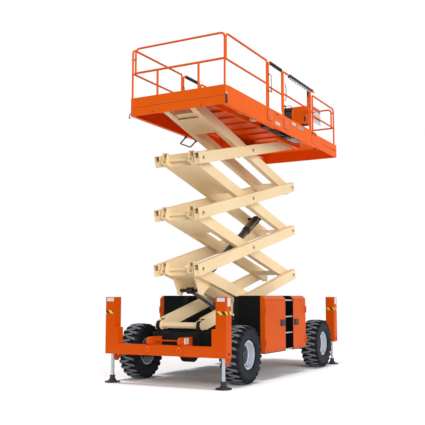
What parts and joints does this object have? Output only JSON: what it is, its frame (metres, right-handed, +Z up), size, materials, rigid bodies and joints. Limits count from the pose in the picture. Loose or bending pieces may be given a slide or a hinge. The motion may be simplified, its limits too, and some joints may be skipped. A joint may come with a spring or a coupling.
{
  "type": "rough terrain scissor lift",
  "caption": "Self-propelled platform lift on rough terrain tyres: stacked scissor arms with lift cylinders, a railed deck with slide-out extension, corner outrigger jacks and side hoods.",
  "frame": {"origin": "on the ground under the middle of the whole lift's box, extension run out", "axes": "+X to the lift's right, +Y towards the front, the way the deck extension runs out, +Z up"},
  "size_m": [2.327, 5.916, 5.7685],
  "materials": {
    "orange_paint": "gloss",
    "cream_paint": "satin",
    "black_paint": "satin",
    "tyre_rubber": "matte",
    "wheel_paint": "satin",
    "jack_steel": "satin",
    "rod_chrome": "gloss",
    "engine_iron": "matte",
    "box_plastic": "matte"
  },
  "bodies": {
    "chassis": {"chassis_frame": "black_paint", "engine_block": "engine_iron", "front_axle": "black_paint", "front_outrigger_frame": "orange_paint", "hydraulic_tank": "black_paint", "left_hood": "orange_paint", "rear_axle": "black_paint", "rear_outrigger_frame": "orange_paint", "right_hood": "orange_paint"},
    "left_near_door": {"left_near_door_panel": "orange_paint"},
    "left_far_door": {"left_far_door_panel": "orange_paint"},
    "knuckle_left": {"steering_knuckle_left": "black_paint"},
    "jack_rear_left": {"jack_leg_rear_left": "jack_steel"},
    "jack_front_left": {"jack_leg_front_left": "jack_steel"},
    "right_near_door": {"right_near_door_panel": "orange_paint"},
    "right_far_door": {"right_far_door_panel": "orange_paint"},
    "knuckle_right": {"steering_knuckle_right": "black_paint"},
    "jack_rear_right": {"jack_leg_rear_right": "jack_steel"},
    "jack_front_right": {"jack_leg_front_right": "jack_steel"},
    "wheel_rear_left": {"rim_rear_left": "wheel_paint", "tyre_rear_left": "tyre_rubber"},
    "wheel_rear_right": {"rim_rear_right": "wheel_paint", "tyre_rear_right": "tyre_rubber"},
    "wheel_front_left": {"rim_front_left": "wheel_paint", "tyre_front_left": "tyre_rubber"},
    "wheel_front_right": {"rim_front_right": "wheel_paint", "tyre_front_right": "tyre_rubber"},
    "outer_1": {"outer_arms_stage_1": "cream_paint"},
    "inner_1": {"inner_arms_stage_1": "cream_paint"},
    "inner_2": {"inner_arms_stage_2": "cream_paint"},
    "outer_2": {"outer_arms_stage_2": "cream_paint"},
    "outer_3": {"outer_arms_stage_3": "cream_paint"},
    "inner_3": {"inner_arms_stage_3": "cream_paint"},
    "inner_4": {"inner_arms_stage_4": "cream_paint"},
    "outer_4": {"outer_arms_stage_4": "cream_paint"},
    "lower_barrel": {"lower_cylinder_barrel": "black_paint"},
    "lower_rod": {"lower_cylinder_rod": "rod_chrome"},
    "upper_barrel": {"upper_cylinder_barrel": "black_paint"},
    "upper_rod": {"upper_cylinder_rod": "rod_chrome"},
    "platform": {"control_box": "box_plastic", "deck_frame": "orange_paint", "entry_step": "black_paint", "left_rail": "orange_paint", "rear_rail": "orange_paint", "right_rail": "orange_paint"},
    "left_gate": {"left_gate_frame": "orange_paint"},
    "right_gate": {"right_gate_frame": "orange_paint"},
    "extension": {"extension_deck": "orange_paint", "extension_rail": "orange_paint"}
  },
  "joints": [
    {"name": "lift", "type": "hinge", "parent": "chassis", "child": "outer_1", "pos_m": [0, -2.412, 0.932], "axis": [1, 0, 0], "range_deg": [-10.35, 26.5]},
    {"name": "centre_pin_1", "type": "hinge", "parent": "outer_1", "child": "inner_1", "pos_m": [0, -0.48671, 1.39422], "axis": [1, 0, 0], "range_deg": [-53.1, 20.8]},
    {"name": "front_pin_2", "type": "hinge", "parent": "outer_1", "child": "inner_2", "pos_m": [0, 1.43858, 1.85644], "axis": [1, 0, 0], "range_deg": [-53.1, 20.8]},
    {"name": "centre_pin_2", "type": "hinge", "parent": "inner_2", "child": "outer_2", "pos_m": [0, -0.48671, 2.31867], "axis": [1, 0, 0], "range_deg": [-20.8, 53.1]},
    {"name": "rear_pin_3", "type": "hinge", "parent": "inner_2", "child": "outer_3", "pos_m": [0, -2.412, 2.78089], "axis": [1, 0, 0], "range_deg": [-20.8, 53.1]},
    {"name": "centre_pin_3", "type": "hinge", "parent": "outer_3", "child": "inner_3", "pos_m": [0, -0.48671, 3.24311], "axis": [1, 0, 0], "range_deg": [-53.1, 20.8]},
    {"name": "front_pin_4", "type": "hinge", "parent": "outer_3", "child": "inner_4", "pos_m": [0, 1.43858, 3.70533], "axis": [1, 0, 0], "range_deg": [-53.1, 20.8]},
    {"name": "centre_pin_4", "type": "hinge", "parent": "inner_4", "child": "outer_4", "pos_m": [0, -0.48671, 4.16755], "axis": [1, 0, 0], "range_deg": [-20.8, 53.1]},
    {"name": "platform_pin", "type": "hinge", "parent": "inner_4", "child": "platform", "pos_m": [0, -2.412, 4.62977], "axis": [1, 0, 0], "range_deg": [-10.45, 26.6]},
    {"name": "lower_barrel_pin", "type": "hinge", "parent": "chassis", "child": "lower_barrel", "pos_m": [0, 0.308, 0.7], "axis": [-1, 0, 0], "range_deg": [-10.19, 25.94]},
    {"name": "lower_rod_slide", "type": "slide", "parent": "lower_barrel", "child": "lower_rod", "axis": [0, -0.9469, 0.3215], "range_m": [-0.3136, 0.7998]},
    {"name": "upper_barrel_pin", "type": "hinge", "parent": "inner_1", "child": "upper_barrel", "pos_m": [0, -1.68272, 1.68136], "axis": [1, 0, 0], "range_deg": [-25.2, 64.36]},
    {"name": "upper_rod_slide", "type": "slide", "parent": "upper_barrel", "child": "upper_rod", "axis": [0, 0.8691, 0.4946], "range_m": [-0.4581, 1.1698]},
    {"name": "extension_slide", "type": "slide", "parent": "platform", "child": "extension", "axis": [0, 1, 0], "range_m": [-1.25, 0]},
    {"name": "left_gate_hinge", "type": "hinge", "parent": "platform", "child": "left_gate", "pos_m": [-0.913, -0.809, 5.29977], "axis": [0, 0, -1], "range_deg": [0, 90]},
    {"name": "right_gate_hinge", "type": "hinge", "parent": "platform", "child": "right_gate", "pos_m": [0.913, -0.809, 5.29977], "axis": [0, 0, 1], "range_deg": [0, 90]},
    {"name": "left_near_door_hinge", "type": "hinge", "parent": "chassis", "child": "left_near_door", "pos_m": [-1.0763, -1.349, 0.6], "axis": [0, 0, 1], "range_deg": [0, 95]},
    {"name": "left_far_door_hinge", "type": "hinge", "parent": "chassis", "child": "left_far_door", "pos_m": [-1.0763, 0.495, 0.6], "axis": [0, 0, -1], "range_deg": [0, 95]},
    {"name": "right_near_door_hinge", "type": "hinge", "parent": "chassis", "child": "right_near_door", "pos_m": [1.0763, -1.349, 0.6], "axis": [0, 0, -1], "range_deg": [0, 95]},
    {"name": "right_far_door_hinge", "type": "hinge", "parent": "chassis", "child": "right_far_door", "pos_m": [1.0763, 0.495, 0.6], "axis": [0, 0, 1], "range_deg": [0, 95]},
    {"name": "jack_rear_left_slide", "type": "slide", "parent": "chassis", "child": "jack_rear_left", "axis": [0, 0, 1], "range_m": [-0.2, 0.3]},
    {"name": "jack_rear_right_slide", "type": "slide", "parent": "chassis", "child": "jack_rear_right", "axis": [0, 0, 1], "range_m": [-0.2, 0.3]},
    {"name": "jack_front_left_slide", "type": "slide", "parent": "chassis", "child": "jack_front_left", "axis": [0, 0, 1], "range_m": [-0.2, 0.3]},
    {"name": "jack_front_right_slide", "type": "slide", "parent": "chassis", "child": "jack_front_right", "axis": [0, 0, 1], "range_m": [-0.2, 0.3]},
    {"name": "steer_left", "type": "hinge", "parent": "chassis", "child": "knuckle_left", "pos_m": [-0.72, 1.318, 0.47], "axis": [0, 0, 1], "range_deg": [-30, 30]},
    {"name": "steer_right", "type": "hinge", "parent": "chassis", "child": "knuckle_right", "pos_m": [0.72, 1.318, 0.47], "axis": [0, 0, 1], "range_deg": [-30.1, 30.1]},
    {"name": "wheel_rear_left_roll", "type": "hinge", "parent": "chassis", "child": "wheel_rear_left", "pos_m": [-0.97, -2.102, 0.47], "axis": [1, 0, 0], "continuous": true},
    {"name": "wheel_rear_right_roll", "type": "hinge", "parent": "chassis", "child": "wheel_rear_right", "pos_m": [0.97, -2.102, 0.47], "axis": [1, 0, 0], "continuous": true},
    {"name": "wheel_front_left_roll", "type": "hinge", "parent": "knuckle_left", "child": "wheel_front_left", "pos_m": [-0.97, 1.318, 0.47], "axis": [1, 0, 0], "continuous": true},
    {"name": "wheel_front_right_roll", "type": "hinge", "parent": "knuckle_right", "child": "wheel_front_right", "pos_m": [0.97, 1.318, 0.47], "axis": [1, 0, 0], "continuous": true}
  ],
  "couplings": [
    {"joint": "centre_pin_1", "follows": "lift", "ratio": -2},
    {"joint": "front_pin_2", "follows": "lift", "ratio": -2},
    {"joint": "centre_pin_2", "follows": "lift", "ratio": 2},
    {"joint": "rear_pin_3", "follows": "lift", "ratio": 2},
    {"joint": "centre_pin_3", "follows": "lift", "ratio": -2},
    {"joint": "front_pin_4", "follows": "lift", "ratio": -2},
    {"joint": "centre_pin_4", "follows": "lift", "ratio": 2},
    {"joint": "platform_pin", "follows": "lift", "ratio": 1},
    {"joint": "lower_barrel_pin", "follows": "lift", "ratio": 0.975},
    {"joint": "lower_rod_slide", "follows": "lift", "m_per_rad": 1.725},
    {"joint": "upper_barrel_pin", "follows": "lift", "ratio": 2.425},
    {"joint": "upper_rod_slide", "follows": "lift", "m_per_rad": 2.525},
    {"joint": "steer_right", "follows": "steer_left", "ratio": 1}
  ]
}
